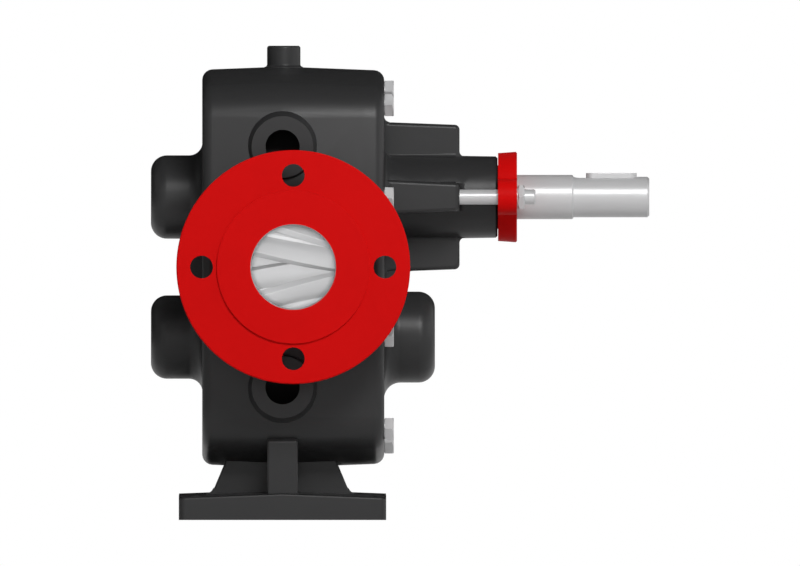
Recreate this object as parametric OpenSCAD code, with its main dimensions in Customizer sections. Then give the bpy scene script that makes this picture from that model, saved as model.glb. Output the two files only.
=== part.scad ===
// Helical gear pump with flanged ports, a heating jacket and a packed gland.
// Two gears turn in a cast casing: the upper one is driven and the lower one follows it.
// +X runs along the shafts to the drive end, the ports face -Y and +Y, and +Z is up.
// The origin is the middle of the foot's underside, below the middle of the casing.

/* [Gears] */
// Distance between the two gear axes
gear_centres = 110.7; // [109:0.1:112]
// Teeth on each gear
gear_teeth = 13; // [12:1:14]
// Helix angle at the pitch circle, in degrees
helix_angle = 18; // [12:1:22]
// Normal pressure angle, in degrees
pressure_angle = 20; // [19:0.5:22]
// Play between the flanks, measured along the pitch circle
backlash = 0.5; // [0.4:0.05:0.8]
// Gap between the tooth tips and the casing
tip_gap = 0.3; // [0.2:0.05:0.5]
// Gap between each gear face and the chamber wall
side_gap = 0.3; // [0.2:0.05:0.5]

/* [Shafts] */
// Diameter of both shafts in the gears and bearings
shaft_d = 35; // [34:0.5:36]
// Diameter of the drive end that takes the coupling
drive_end_d = 32; // [30:0.5:33]
// Length of the drive end
drive_end_len = 60; // [56:1:70]
// Reach of the shoulder before the drive end, from the gland face
shoulder_reach = 44.6; // [38:0.2:50]
// Running clearance on the radius of each bush
bush_gap = 0.03; // [0.02:0.01:0.06]
// Wall thickness of the bearing bushes
bush_wall = 5; // [4.5:0.5:6]
// Length of the bearing bushes
bush_len = 40; // [36:1:43]

/* [Casing] */
// Length of the casing between its rear wall and the cover joint
casing_len = 127; // [124:1:132]
// Height of the body at the middle of the casing
casing_h = 317; // [314:1:322]
// Distance from the side cover bolts to the side of the body
bolt_edge = 20.7; // [19:0.1:23]
// Radius of the curved top and bottom of the body
crown_r = 190; // [180:5:220]
// Radius of the slightly curved sides of the body
side_r = 770; // [700:10:900]
// Radius of the body's long edges
corner_r = 37; // [34:1:40]
// Radius of the rounded end edges of the body
end_round = 8; // [6:0.5:9]
// Taper of the body towards both ends, in degrees
draft = 2.2; // [1.8:0.1:2.4]
// Thickness of the rear wall
rear_wall = 17; // [15:0.5:18]
// Thickness of the front cover plate
cover_t = 17; // [16:0.5:19]
// Height of the port axis above the underside of the foot
port_h = 200; // [198:1:206]
// Thickness of the outer skin round the heating jacket
jacket_wall = 9; // [8:0.5:10]
// Thickness of the chamber wall inside the heating jacket
liner_wall = 11; // [10:0.5:12]

/* [Shaft bosses] */
// Radius of the two rear shaft bosses
rear_boss_r = 33; // [32:0.5:34]
// Length of the rear shaft bosses
rear_boss_len = 40.5; // [40:0.5:44]
// Radius of the front boss of the driven shaft
front_boss_r = 36; // [34:0.5:37]
// Length of the front boss of the driven shaft
front_boss_len = 40; // [39:0.5:43]
// Half thickness of the web between the rear bosses
rear_web_t = 12; // [10:0.5:14]

/* [Gland bracket] */
// Distance from the cover face to the end of the packing barrel
barrel_len = 89.5; // [88:0.5:94]
// Radius of the barrel where it leaves the cover
barrel_r = 33.6; // [33:0.2:34.5]
// Radius of the barrel at its open end
barrel_end_r = 32.2; // [31.5:0.1:33]
// Length of the four fins of the bracket, from the cover face
fin_len = 59.5; // [56:0.5:62]
// Reach of the fins from the shaft axis, at the cover
fin_reach = 59.3; // [58:0.2:60]
// Half thickness of the upper and lower fins
fin_t = 6.7; // [6:0.1:8]
// Half thickness, at the cover, of the two side fins that hold the gland studs
stud_fin_t = 13.8; // [13:0.2:15]
// Half thickness of the side fins at their ends
stud_fin_end_t = 11; // [10.4:0.2:12]
// Radius of the stuffing box bore
box_r = 25.5; // [25:0.5:26]
// Number of packing rings
packing_count = 5; // [4:1:5]
// Distance of each gland stud from the shaft axis
stud_offset = 48; // [47:0.5:49]
// Diameter of the gland studs
stud_d = 12; // [11:0.5:12]
// Length of the gland studs outside the gland
stud_tail = 14.6; // [13.6:0.2:17]

/* [Gland] */
// Thickness of the gland flange
gland_t = 15; // [13:0.5:17]
// Radius of the gland flange
gland_r = 35.2; // [34.5:0.1:36]
// Radius of the gland's ears round the studs
ear_r = 13.8; // [13:0.2:14.6]
// Length of the gland's nose inside the box
gland_nose = 14; // [12:0.5:15]
// Width across the flats of the M12 nuts and bolt heads
hex_af = 19; // [18:0.5:20]
// Thickness of the gland nuts
nut_t = 6; // [5:0.5:7]

/* [Ports] */
// Bore of both ports
port_bore_d = 66; // [62:1:68]
// Distance from the pump's middle plane to each flange face
port_face = 150; // [146:1:156]
// Diameter of the port flanges
flange_d = 185; // [180:1:190]
// Thickness of the port flanges, with the raised face
flange_t = 20; // [18:0.5:24]
// Diameter of the raised sealing face
raised_face_d = 121; // [118:1:123]
// Height of the raised sealing face
raised_face_h = 2; // [1:0.5:3]
// Pitch circle diameter of the flange bolts
flange_pcd = 145; // [142:1:148]
// Number of bolt holes in each flange
flange_holes = 4; // [4:4:8]
// Diameter of the bolt holes in the flanges
flange_hole_d = 18; // [16:0.5:19]
// Radius of the screwed spigot that carries each flange
spigot_r = 44; // [43:0.5:45]
// Depth of the socket in the back of each flange
socket_depth = 12; // [10:0.5:13]

/* [Jacket] */
// Distance of the jacket ports above and below the port axis
jacket_offset = 95; // [93:0.5:97]
// Diameter of the jacket ports
jacket_port_d = 27.2; // [26:0.2:28]
// Radius of the flat face round each jacket port
jacket_face_r = 24.4; // [23.6:0.1:25]
// Diameter of the vent boss on top of the body
vent_boss_d = 26.4; // [25:0.2:28]
// Height of the vent boss above the body
vent_boss_h = 16.5; // [15:0.5:20]
// Diameter of the vent plug
vent_plug_d = 13; // [12:0.5:14]
// Length of the vent plug
vent_plug_len = 12; // [10:1:14]
// Width across the flats of the plug's hexagon socket
vent_socket = 6; // [5:1:7]
// Diameter of the vent passage below the plug
vent_d = 8; // [7:0.5:9]

/* [Foot] */
// Length of the foot plate along the shafts
foot_len = 164; // [160:1:170]
// Width of the foot plate
foot_w = 168; // [166:1:176]
// Thickness of the foot plate at its ends
foot_t = 21; // [19:0.5:22]
// Half length of the pedestal where it meets the body
pedestal_top = 45.2; // [43:0.2:47]
// Half length of the pedestal where it meets the foot plate
pedestal_foot = 54.2; // [52:0.2:56]
// Half width of the pedestal's long web
pedestal_y = 36; // [34:0.5:38]
// Half thickness of the pedestal's cross rib
cross_rib_t = 12; // [10:0.5:14]
// Diameter of the foot bolt holes
foot_hole_d = 14; // [12:0.5:16]
// Spacing of the foot bolts along the shafts
foot_pitch_x = 136; // [134:1:138]
// Spacing of the foot bolts across the pump
foot_pitch_y = 130; // [126:1:132]

/* [Fasteners] */
// Height of the cover bolt heads
head_h = 7.5; // [7:0.5:9]
// Diameter of the cover bolts
bolt_d = 12; // [11:0.5:12]
// Depth that the cover bolts reach into the casing
bolt_grip = 20; // [18:1:22]
// Place of the top and bottom cover bolts, as a share of the way from the seal groove to the crown
top_bolt_share = 0.42; // [0.38:0.02:0.5]
// Distance from the corner cover bolts to the side of the body
corner_bolt_side = 36; // [34:0.5:39]
// Distance from the corner cover bolts to the height of the crown
corner_bolt_top = 30.5; // [29:0.5:33]
// Wall between the seal groove and the side cover bolts
seal_wall = 2.4; // [2:0.1:3.2]
// Diameter of the dowel pins in the cover joint
dowel_d = 8; // [7:0.5:9]
// Length of the dowel pins
dowel_len = 21; // [18:1:24]
// Height of each dowel pin above or below the port axis
dowel_offset = 20; // [16:1:26]
// Width of the keys
key_w = 10; // [9:0.5:11]
// Height of the keys
key_h = 8; // [7.5:0.5:8.5]
// Length of the coupling key
coupling_key_len = 40; // [36:1:42]
// Length of the keys under the gears
gear_key_len = 70; // [60:1:80]
// Thickness of the circlips at the gear faces
clip_t = 1.5; // [1.2:0.1:1.8]
// Thickness of the cord of the cover seal
seal_d = 3; // [2.6:0.1:3.2]

/* [Hidden] */

$fn = 72;
eps = 0.01;
fit = 0.1;
press = 0.02;
// How far a cast fillet runs into the face below it, so that it ends in a line and not in a feather edge
bite = 0.2;

paint = [0.13, 0.13, 0.135];
red = [0.79, 0.04, 0.04];
steel = [0.78, 0.78, 0.79];
bronze = [0.72, 0.53, 0.3];
rubber = [0.08, 0.08, 0.08];
graphite = [0.25, 0.25, 0.26];

// Places along the shafts
rear_x = -casing_len / 2;
joint_x = casing_len / 2;
cover_x = joint_x + cover_t;
chamber_rear = rear_x + rear_wall;
chamber_len = joint_x - chamber_rear;
port_x = chamber_rear + chamber_len / 2;
gear_w = chamber_len - 2 * side_gap;
rear_boss_end = rear_x - rear_boss_len;
front_boss_end = cover_x + front_boss_len;
barrel_end = cover_x + barrel_len;
fin_end = cover_x + fin_len;
gland_x = barrel_end + 0.4;
gland_face = gland_x + gland_t;
shoulder_x = gland_face + shoulder_reach;
shaft_end = shoulder_x + drive_end_len;
stud_end = gland_face + stud_tail;
bush_start = 0.8;
rear_bush_x = chamber_rear - bush_start - bush_len;
front_bush_x = joint_x + bush_start;
rear_shaft_end = rear_bush_x - 1.5;
front_shaft_end = front_bush_x + bush_len + 1.5;
throat_len = 8;
throat_x = front_bush_x + bush_len + 2;
box_x = throat_x + throat_len;

// Heights
drive_z = port_h + gear_centres / 2;
driven_z = port_h - gear_centres / 2;
body_bottom = port_h - casing_h / 2;

// Gears, in the plane across the shafts
pitch_r = gear_centres / 2;
normal_module = gear_centres * cos(helix_angle) / gear_teeth;
transverse_angle = atan(tan(pressure_angle) / cos(helix_angle));
base_r = pitch_r * cos(transverse_angle);
tip_r = pitch_r + 0.98 * normal_module;
root_r = pitch_r - 1.25 * normal_module;
chamber_r = tip_r + tip_gap;
tooth_pitch = 360 / gear_teeth;
helix_turn = gear_w * tan(helix_angle) / pitch_r * 180 / PI;
mesh_phase = 6.9;

// Fits and passages
bush_r = shaft_d / 2 + bush_gap + bush_wall;
tap_r = bolt_d / 2 - 0.1;
clear_r = bolt_d / 2 + 0.75;
hex_r = hex_af / 2 / cos(30);
seal_r = chamber_r + 2.2 + seal_d / 2;
groove_w = seal_d + 0.4;
groove_top = gear_centres / 2 + seal_r + groove_w / 2;
side_bolt_y = seal_r + groove_w / 2 + seal_wall + bolt_d / 2;
casing_w = 2 * (side_bolt_y + bolt_edge);
liner_r = chamber_r + liner_wall;
packing_len = (gland_x - gland_nose - 0.3 - box_x) / packing_count;
flange_back = port_face - flange_t;
seal_t = 2;
spigot_end = flange_back + socket_depth - seal_t;
jacket_face_y = casing_w / 2;
pedestal_x = -1.2;
vent_top = port_h + casing_h / 2 + vent_boss_h;
vent_x = 1;
vent_plug_z = vent_top - vent_plug_len - 1;
cover_bolts_yz = [
    [0, groove_top + top_bolt_share * (casing_h / 2 - groove_top)],
    [casing_w / 2 - corner_bolt_side, casing_h / 2 - corner_bolt_top],
    [side_bolt_y, gear_centres / 2 - 1],
];

// Moves a flat shape drawn in Y and Z so that it is extruded along X.
module along_x(x) { translate([x, 0, 0]) rotate([90, 0, 90]) children(); }

// Turns a profile of radius and length round a shaft axis at height z.
module turned(x, z) { translate([x, 0, z]) rotate([0, 90, 0]) rotate_extrude() children(); }

module rod(r, x0, x1, y = 0, z = 0) {
    translate([x0, y, z]) rotate([0, 90, 0]) cylinder(r = r, h = x1 - x0);
}

module tube(r_out, r_in, x0, x1, z) {
    difference() {
        rod(r_out, x0, x1, z = z);
        rod(r_in, x0 - 1, x1 + 1, z = z);
    }
}

// Places children on the near and far side of the pump, looking outwards along -Y and +Y.
module both_sides() {
    for (side = [0, 180]) rotate([0, 0, side]) children();
}

// Points along an arc, without its last one.
function arc(centre, r, from, to, count) =
    [for (i = [0 : count - 1]) let (a = from + (to - from) * i / count) centre + r * [cos(a), sin(a)]];

// The casting's end outline in Y and Z about the port axis, taken in by inset. Long arcs make the
// crown and the sides, and a corner arc touches each pair of them.
function body_outline(inset) =
    let (
        crown_c = casing_h / 2 - crown_r,
        side_c = casing_w / 2 - side_r,
        span = norm([crown_c, side_c]),
        a = crown_r - corner_r,
        b = side_r - corner_r,
        along = (a * a - b * b + span * span) / 2 / span,
        across = sqrt(a * a - along * along),
        corner = [
            (side_c * along - crown_c * across) / span,
            crown_c - (crown_c * along + side_c * across) / span
        ],
        top_a = atan2(corner[1] - crown_c, corner[0]),
        side_a = atan2(corner[1], corner[0] - side_c),
        r = corner_r - inset
    )
    concat(
        arc([side_c, 0], side_r - inset, -side_a, side_a, 4),
        arc(corner, r, side_a, top_a, 8),
        arc([0, crown_c], crown_r - inset, top_a, 180 - top_a, 8),
        arc([-corner[0], corner[1]], r, 180 - top_a, 180 - side_a, 8),
        arc([-side_c, 0], side_r - inset, 180 - side_a, 180 + side_a, 4),
        arc(-corner, r, 180 + side_a, 180 + top_a, 8),
        arc([0, -crown_c], crown_r - inset, 180 + top_a, 360 - top_a, 8),
        arc([corner[0], -corner[1]], r, 360 - top_a, 360 - side_a, 8)
    );

function body_ring(x, inset) =
    [for (p = body_outline(inset + abs(x) * tan(draft))) [x, p[0], port_h + p[1]]];

// Closed skin over rings that all have the same number of points.
module skin(rings) {
    count = len(rings[0]);
    last = len(rings) - 1;
    polyhedron(
        points = [for (ring = rings) each ring],
        faces = concat(
            [[for (j = [0 : count - 1]) j]],
            [for (i = [0 : last - 1], j = [0 : count - 1])
                let (k = (j + 1) % count)
                [i * count + j, (i + 1) * count + j, (i + 1) * count + k, i * count + k]],
            [[for (j = [count - 1 : -1 : 0]) last * count + j]]
        )
    );
}

// The drafted body with round end edges, before it is split at the cover joint.
module body_blank() {
    turns = [90 : -18 : 0];
    skin(concat(
        [for (t = turns) body_ring(rear_x + end_round * (1 - sin(t)), end_round * (1 - cos(t)))],
        [body_ring(0, 0)],
        [for (i = [0 : 18 : 90]) body_ring(cover_x - end_round * (1 - sin(i)), end_round * (1 - cos(i)))]
    ));
}

module half_space(x0, x1) {
    translate([x0, -casing_w, port_h - casing_h]) cube([x1 - x0, 2 * casing_w, 2 * casing_h]);
}

// Profile of a cast boss with a round outer edge and a fillet at its root, as radius and length.
module boss_profile(r, length, edge, fillet) {
    sunk = 3;
    translate([0, -sunk]) square([r, length + sunk - edge]);
    translate([0, -sunk]) square([r - edge, length + sunk]);
    translate([r - edge, length - edge]) circle(edge);
    difference() {
        translate([r - 1, -sunk]) square([fillet + 1, fillet + sunk - bite]);
        translate([r + fillet, fillet - bite]) circle(fillet);
    }
}

module rear_bosses() {
    edge = 12.6;
    fillet = 10.5;
    web_len = 15.5;
    for (z = [drive_z, driven_z]) {
        translate([rear_x, 0, z]) rotate([0, -90, 0]) rotate_extrude()
            boss_profile(rear_boss_r, rear_boss_len, edge, fillet);
    }
    translate([rear_x - web_len, -rear_web_t, driven_z])
        cube([web_len + end_round, 2 * rear_web_t, gear_centres]);
}

// Necks that carry the port flanges, with a fillet on the body and a spigot for the flange.
module port_necks() {
    neck_r = spigot_r + 5;
    blend = 10;
    sunk = 3.5;
    intersection() {
        both_sides_at_ports() rotate([90, 0, 0]) rotate_extrude() {
            square([spigot_r, spigot_end]);
            square([neck_r, flange_back - 1]);
            difference() {
                square([neck_r + blend, casing_w / 2 - sunk + blend]);
                translate([neck_r + blend, casing_w / 2 - sunk + blend]) circle(blend);
            }
        }
        half_space(rear_x, joint_x);
    }
}

module jacket_bosses() {
    flare = 6;
    height = 16;
    both_sides() for (z = [-jacket_offset, jacket_offset]) {
        translate([0, height - jacket_face_y, port_h + z]) rotate([90, 0, 0])
            cylinder(r1 = jacket_face_r + flare, r2 = jacket_face_r, h = height);
    }
}

module vent_boss() {
    translate([vent_x, 0, port_h]) rotate_extrude()
        translate([0, casing_h / 2]) boss_profile(vent_boss_d / 2, vent_boss_h, 2, 2);
}

// Foot plate with rounded corners and a top that falls away from its middle on the draft.
module foot_plate() {
    corner = 5;
    half_x = foot_len / 2;
    half_y = foot_w / 2;
    fall_x = half_x * tan(draft);
    fall_y = half_y * tan(draft);
    top = foot_t + fall_x;
    hull() {
        for (x = [-1, 1], y = [-1, 1]) {
            translate([x * (half_x - corner), y * (half_y - corner), 0])
                cylinder(r = corner, h = top - fall_x - fall_y, $fn = 32);
        }
        for (side = [-1, 1]) {
            translate([side * (half_x - 1), 0, 0]) cylinder(r = 1, h = top - fall_x, $fn = 12);
            translate([0, side * (half_y - 1), 0]) cylinder(r = 1, h = top - fall_y, $fn = 12);
        }
        cylinder(r = 1, h = top, $fn = 12);
    }
}

// Fillets, in plan, where a straight bar of half thickness t runs out of a round part of radius r.
module bar_fillets(r, t, blend) {
    out = sqrt(pow(r + blend, 2) - pow(t + blend, 2));
    reach = r / (r + blend);
    for (x = [-1, 1], y = [-1, 1]) scale([x, y]) difference() {
        polygon([[0, 0], [out, 0], [out, t + blend], [out * reach, (t + blend) * reach]]);
        translate([out, t + blend]) circle(blend);
    }
}

// Pedestal: a long web under the body and a cross rib that reaches nearly to the plate's edges.
module pedestal() {
    blend = 5;
    base = foot_t + 1;
    rib_y = foot_w / 2 - 3;
    rib_top = body_bottom + 23;
    lean = tan(2 * draft);
    translate([pedestal_x, pedestal_y, 0]) rotate([90, 0, 0]) linear_extrude(2 * pedestal_y) {
        polygon([
            [-pedestal_foot, base - 3], [pedestal_foot, base - 3], [pedestal_foot, base],
            [pedestal_top, body_bottom + 2], [pedestal_top - 4, body_bottom + 12],
            [-pedestal_top + 4, body_bottom + 12], [-pedestal_top, body_bottom + 2],
            [-pedestal_foot, base],
        ]);
        for (side = [-1, 1]) scale([side, 1]) difference() {
            translate([pedestal_foot - 2, base - 3]) square([blend + 2, blend + 2]);
            translate([pedestal_foot + blend - 0.6, base + blend - 0.6]) circle(blend);
        }
    }
    translate([-cross_rib_t, 0, 0]) rotate([90, 0, 90]) linear_extrude(2 * cross_rib_t) {
        edge = 2;
        polygon([
            [-rib_y, 3], [rib_y, 3], [rib_y + lean * (rib_top - foot_t), rib_top - edge],
            [rib_y, rib_top], [-rib_y, rib_top], [-rib_y - lean * (rib_top - foot_t), rib_top - edge],
        ]);
    }
}

module casing_solid() {
    intersection() {
        body_blank();
        half_space(rear_x - 1, joint_x);
    }
    rear_bosses();
    port_necks();
    jacket_bosses();
    vent_boss();
    foot_plate();
    pedestal();
}

// Two bores that overlap make the chamber in which the gears turn.
module gear_chamber() {
    for (z = [drive_z, driven_z]) rod(chamber_r, chamber_rear, joint_x + 1, z = z);
}

// Heating space above or below the chamber, between its liner and the outer skin.
module jacket_space(end) {
    start = gear_centres / 2 + 15;
    difference() {
        intersection() {
            along_x(chamber_rear + 2) linear_extrude(chamber_len - bolt_grip - 16)
                translate([0, port_h]) polygon(body_outline(jacket_wall + 2));
            translate([-casing_len, -casing_w, port_h + (end > 0 ? start : -casing_h)])
                cube([2 * casing_len, 2 * casing_w, casing_h - start]);
        }
        rod(liner_r, chamber_rear, joint_x, z = port_h + end * gear_centres / 2);
    }
}

module cover_bolt_places() {
    for (y = [-1, 1], z = [-1, 1], at = cover_bolts_yz) {
        if (at[0] > 0 || y > 0) translate([0, y * at[0], port_h + z * at[1]]) children();
    }
}

// Outline that runs round both gear axes at radius r.
module obround(r) {
    square([2 * r, gear_centres], center = true);
    for (end = [-1, 1]) translate([0, end * gear_centres / 2]) circle(r);
}

// Ring round the chamber in the joint face, for the cover seal and its groove.
module seal_path(width, depth) {
    along_x(joint_x - depth) linear_extrude(depth + 1) translate([0, port_h]) difference() {
        obround(seal_r + width / 2);
        obround(seal_r - width / 2);
    }
}

// Two pins or holes in the joint face, one on each side at different heights.
module dowels(r, length) {
    for (side = [-1, 1]) {
        rod(r, joint_x - length / 2, joint_x + length / 2, y = side * side_bolt_y, z = port_h - side * dowel_offset);
    }
}

module foot_holes(r) {
    for (x = [-1, 1], y = [-1, 1]) {
        translate([x * foot_pitch_x / 2, y * foot_pitch_y / 2, -1]) cylinder(r = r, h = foot_t + 10);
    }
}

module casing() {
    color(paint) difference() {
        casing_solid();
        gear_chamber();
        for (end = [-1, 1]) jacket_space(end);
        for (z = [drive_z, driven_z]) rod(bush_r + press, rear_bush_x - 3, chamber_rear + 1, z = z);
        translate([port_x, port_face, port_h]) rotate([90, 0, 0])
            cylinder(d = port_bore_d, h = 2 * port_face);
        both_sides() for (z = [-jacket_offset, jacket_offset]) {
            translate([0, -liner_r, port_h + z]) rotate([90, 0, 0])
                cylinder(d = jacket_port_d, h = jacket_face_y);
        }
        cover_bolt_places() rod(tap_r + fit, joint_x - bolt_grip - 4, joint_x + 1);
        dowels(dowel_d / 2 + press, dowel_len + 1);
        seal_path(groove_w, seal_d);
        translate([vent_x, 0, vent_plug_z]) cylinder(d = vent_plug_d + 2 * fit, h = vent_boss_h);
        translate([vent_x, 0, drive_z + liner_r + 3])
            cylinder(d = vent_d, h = vent_plug_z - drive_z - liner_r - 2);
        foot_holes(foot_hole_d / 2);
    }
}

// Side view of a bracket fin, as length and reach: a drafted bar with a round outer corner, a
// fillet at the cover and a smaller one where its end meets the barrel.
module fin_side() {
    corner = 4;
    tip = fin_reach - 2.1;
    root = 5;
    heel = 4;
    sunk = 3;
    polygon([
        [-sunk, 0], [fin_len, 0], [fin_len, tip - corner],
        [fin_len - corner, tip], [0, fin_reach], [-sunk, fin_reach],
    ]);
    translate([fin_len - corner, tip - corner]) circle(corner);
    difference() {
        translate([-sunk, fin_reach - 1]) square([sunk + root - bite, root + 1]);
        translate([root - bite, fin_reach + root]) circle(root);
    }
    difference() {
        translate([fin_len - 1, 0]) square([heel + 1, barrel_end_r + heel]);
        translate([fin_len + heel, barrel_end_r + heel]) circle(heel);
    }
}

// Bracket fin that tapers from half thickness t at the cover to end_t at its end.
module fin(t, end_t) {
    past = 10;
    slope = (t - end_t) / fin_len;
    translate([cover_x, 0, 0]) intersection() {
        rotate([90, 0, 0]) linear_extrude(2 * t + 2, center = true) fin_side();
        linear_extrude(2 * fin_reach) polygon([
            [-past, -t - slope * past], [fin_len + past, -end_t + slope * past],
            [fin_len + past, end_t - slope * past], [-past, t + slope * past],
        ]);
    }
}

module bracket() {
    translate([0, 0, drive_z]) {
        for (turn = [0, 180]) rotate([turn, 0, 0]) fin(fin_t, fin_t - 0.4);
        for (turn = [90, 270]) rotate([turn, 0, 0]) fin(stud_fin_t, stud_fin_end_t);
        along_x(cover_x - 1) linear_extrude(fin_len - 2) {
            bar_fillets(barrel_end_r, stud_fin_end_t, 5);
            rotate(90) bar_fillets(barrel_end_r, fin_t - 0.4, 5);
        }
    }
    turned(cover_x, drive_z) {
        translate([0, -3]) square([barrel_r, 3 + eps]);
        polygon([
            [0, 0], [barrel_r, 0], [barrel_end_r, barrel_len - 1.5],
            [barrel_end_r - 1.5, barrel_len], [0, barrel_len],
        ]);
        difference() {
            translate([0, -3]) square([barrel_r + 6, 9 - bite]);
            translate([barrel_r + 6, 6 - bite]) circle(6);
        }
    }
}

module front_cover() {
    color(paint) difference() {
        union() {
            intersection() {
                body_blank();
                half_space(joint_x, cover_x + 1);
            }
            bracket();
            turned(cover_x, driven_z) boss_profile(front_boss_r, front_boss_len, 13, 13);
        }
        rod(bush_r + press, joint_x - 1, front_bush_x + bush_len, z = drive_z);
        rod(bush_r + press, joint_x - 1, front_bush_x + bush_len + 3, z = driven_z);
        rod(shaft_d / 2 + 1, joint_x, box_x, z = drive_z);
        rod(box_r, throat_x, barrel_end + 1, z = drive_z);
        for (side = [-1, 1]) {
            rod(stud_d / 2 + fit, fin_end - 22, fin_end + 1, y = side * stud_offset, z = drive_z);
        }
        cover_bolt_places() rod(clear_r, joint_x - 1, cover_x + 1);
        dowels(dowel_d / 2 + press, dowel_len + 1);
    }
}

module cover_seal() {
    color(rubber) intersection() {
        seal_path(seal_d, seal_d - 0.1);
        half_space(joint_x - casing_len, joint_x - 0.05);
    }
}

module cover_bolts() {
    color(steel) cover_bolt_places() {
        rod(bolt_d / 2, joint_x - bolt_grip, cover_x + eps);
        hexagon(cover_x, head_h);
    }
}

// Hexagon with a chamfered outer face and a corner towards the ports.
module hexagon(x, height) {
    intersection() {
        along_x(x) cylinder(r = hex_r, h = height, $fn = 6);
        turned(x, 0) polygon([
            [0, 0], [hex_r, 0], [hex_r, height - 0.7], [hex_af / 2 - 0.3, height], [0, height],
        ]);
    }
}

module dowel_pins() {
    color(steel) dowels(dowel_d / 2, dowel_len);
}

module bush(x, z) {
    color(bronze) tube(bush_r, shaft_d / 2 + bush_gap, x, x + bush_len, z);
}

module throat_bush() {
    color(bronze) tube(box_r - press, shaft_d / 2 + 0.15, throat_x, box_x, drive_z);
}

// Involute of the base circle, as the angle from its start to the point at radius r.
function involute(r) =
    let (roll = sqrt(max(0, pow(r / base_r, 2) - 1))) roll * 180 / PI - atan(roll);

// Half angle of a tooth at radius r: an involute above the base circle and a relieved flank below.
function tooth_half_angle(r) =
    let (at_pitch = 90 / gear_teeth - backlash / 4 / pitch_r * 180 / PI)
    r > base_r
        ? at_pitch + involute(pitch_r) - involute(r)
        : at_pitch + involute(pitch_r) - 1.1 * (base_r - r) / (base_r - root_r);

// Points of one tooth and the root beside it, as angle and radius.
function tooth_points(centre) =
    let (
        steps = 4,
        flank = [for (i = [0 : steps]) root_r + 2 + (tip_r - root_r - 2) * pow(i / steps, 0.85)],
        edge = tooth_half_angle(root_r + 2),
        gap = tooth_pitch / 2 - edge
    )
    concat(
        [[centre - edge - gap * 0.35, root_r]],
        [for (r = flank) [centre - tooth_half_angle(r), r]],
        [for (i = [steps : -1 : 0]) [centre + tooth_half_angle(flank[i]), flank[i]]],
        [[centre + edge + gap * 0.35, root_r]]
    );

function polar(points) = [for (p = points) p[1] * [cos(p[0]), sin(p[0])]];

// A circle drawn round a radius, so that no part of it is inside that radius.
function outer_ring(r, count) = polar([for (i = [0 : count - 1]) [i * 360 / count, r / cos(180 / count)]]);

module gear_outline(first_tooth) {
    polygon(polar([
        for (i = [0 : gear_teeth - 1]) each tooth_points(first_tooth + i * tooth_pitch)
    ]));
}

// Helical gear with recesses for the circlips, its bore and its keyway; hand is 1 or -1.
module helical_gear(z, first_tooth, hand) {
    recess_r = shaft_d / 2 + 7;
    translate([port_x, 0, z]) rotate([90, 0, 90]) difference() {
        translate([0, 0, -gear_w / 2]) rotate(-hand * helix_turn / 2)
            linear_extrude(gear_w, twist = -hand * helix_turn, slices = 10) gear_outline(first_tooth);
        translate([0, 0, -gear_w]) linear_extrude(2 * gear_w) {
            polygon(outer_ring(shaft_d / 2 + press, 48));
            translate([-key_w / 2 - press, 0]) square([key_w + 2 * press, shaft_d / 2 + key_h * 0.42]);
        }
        for (end = [-1, 1]) translate([0, 0, end * gear_w / 2 - 3]) linear_extrude(6)
            polygon(outer_ring(recess_r, 48));
    }
}

module drive_gear() { color(steel) helical_gear(drive_z, -90 - mesh_phase, 1); }
module driven_gear() { color(steel) helical_gear(driven_z, 90 + tooth_pitch / 2 + mesh_phase, -1); }

module keyway(x0, x1, r, z) {
    translate([x0, -key_w / 2 - press, z + r - key_h * 0.62]) cube([x1 - x0, key_w + 2 * press, key_h]);
}

module round_key(x0, x1, r, z) {
    translate([0, 0, z + r - key_h * 0.62 + press]) linear_extrude(key_h - 2 * press) {
        translate([x0 + key_w / 2, -key_w / 2]) square([x1 - x0 - key_w, key_w]);
        for (x = [x0 + key_w / 2, x1 - key_w / 2]) translate([x, 0]) circle(d = key_w);
    }
}

module gear_key(z) {
    color(steel) round_key(port_x - gear_key_len / 2, port_x + gear_key_len / 2, shaft_d / 2, z);
}

function clip_x(end) = port_x + end * (gear_w / 2 - 3 + clip_t / 2 + 0.05);

module clip_grooves(z) {
    for (end = [-1, 1]) {
        tube(shaft_d, shaft_d / 2 - 1.25, clip_x(end) - clip_t / 2 - 0.05, clip_x(end) + clip_t / 2 + 0.05, z);
    }
}

// External circlips in the recesses of a gear, open at the top.
module gear_clips(z) {
    color(graphite) for (end = [-1, 1]) difference() {
        tube(shaft_d / 2 + 4, shaft_d / 2 - 1.2, clip_x(end) - clip_t / 2, clip_x(end) + clip_t / 2, z);
        translate([clip_x(end) - clip_t, -7, z]) cube([2 * clip_t, 14, shaft_d]);
    }
}

module drive_shaft() {
    chamfer = 1.5;
    r = shaft_d / 2;
    end_r = drive_end_d / 2;
    color(steel) difference() {
        turned(0, drive_z) polygon([
            [0, rear_shaft_end], [r - 1, rear_shaft_end], [r, rear_shaft_end + 1],
            [r, shoulder_x - 1], [r - 1, shoulder_x], [end_r, shoulder_x],
            [end_r, shaft_end - chamfer], [end_r - chamfer, shaft_end], [0, shaft_end],
        ]);
        clip_grooves(drive_z);
        keyway(port_x - gear_key_len / 2, port_x + gear_key_len / 2, r, drive_z);
        keyway(coupling_key_x() - 10, coupling_key_x() + coupling_key_len, end_r, drive_z);
    }
}

function coupling_key_x() = shoulder_x + 10;

module coupling_key() {
    color(steel) round_key(coupling_key_x(), coupling_key_x() + coupling_key_len, drive_end_d / 2, drive_z);
}

module driven_shaft() {
    r = shaft_d / 2;
    color(steel) difference() {
        turned(0, driven_z) polygon([
            [0, rear_shaft_end], [r - 1, rear_shaft_end], [r, rear_shaft_end + 1],
            [r, front_shaft_end - 1], [r - 1, front_shaft_end], [0, front_shaft_end],
        ]);
        clip_grooves(driven_z);
        keyway(port_x - gear_key_len / 2, port_x + gear_key_len / 2, r, driven_z);
    }
}

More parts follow.
